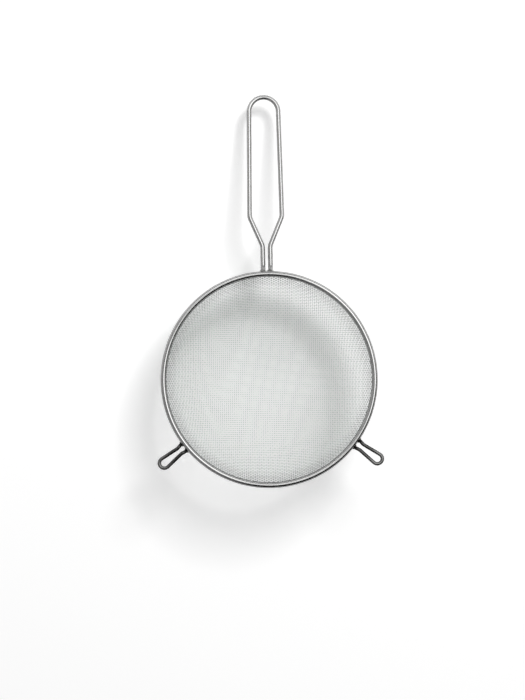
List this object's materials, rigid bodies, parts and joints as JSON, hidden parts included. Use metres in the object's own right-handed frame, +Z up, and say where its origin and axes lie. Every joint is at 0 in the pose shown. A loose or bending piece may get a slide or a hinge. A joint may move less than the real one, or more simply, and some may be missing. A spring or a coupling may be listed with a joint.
{
  "type": "mesh strainer",
  "caption": "Round-bottomed wire mesh strainer with a rolled steel rim, a bent-wire loop handle and two wire rest ears.",
  "frame": {"origin": "inside top of the handle's hanging loop, at the wire's mid-plane", "axes": "+Z up along the handle, -Y out of the bowl's open side, +Y towards the bulging side, +X to the right seen from the open side"},
  "size_m": [0.188, 0.065, 0.326],
  "materials": {
    "rim_band": "polished stainless steel strip",
    "rim_core_wire": "drawn steel wire",
    "mesh_warp": "bright stainless steel wire",
    "mesh_weft": "bright stainless steel wire",
    "handle_wire": "satin drawn stainless steel wire",
    "handle_welds": "dull weld metal",
    "ear_left": "drawn stainless steel wire, dulled dark by heat",
    "ear_right": "drawn stainless steel wire, dulled dark by heat",
    "ear_welds": "burnt weld metal"
  },
  "bodies": {
    "root": {"rim_band": "rim_band", "rim_core_wire": "rim_core_wire", "mesh_warp": "mesh_warp", "mesh_weft": "mesh_weft", "handle_wire": "handle_wire", "handle_welds": "handle_welds", "ear_left": "ear_left", "ear_right": "ear_right", "ear_welds": "ear_welds"}
  },
  "joints": []
}
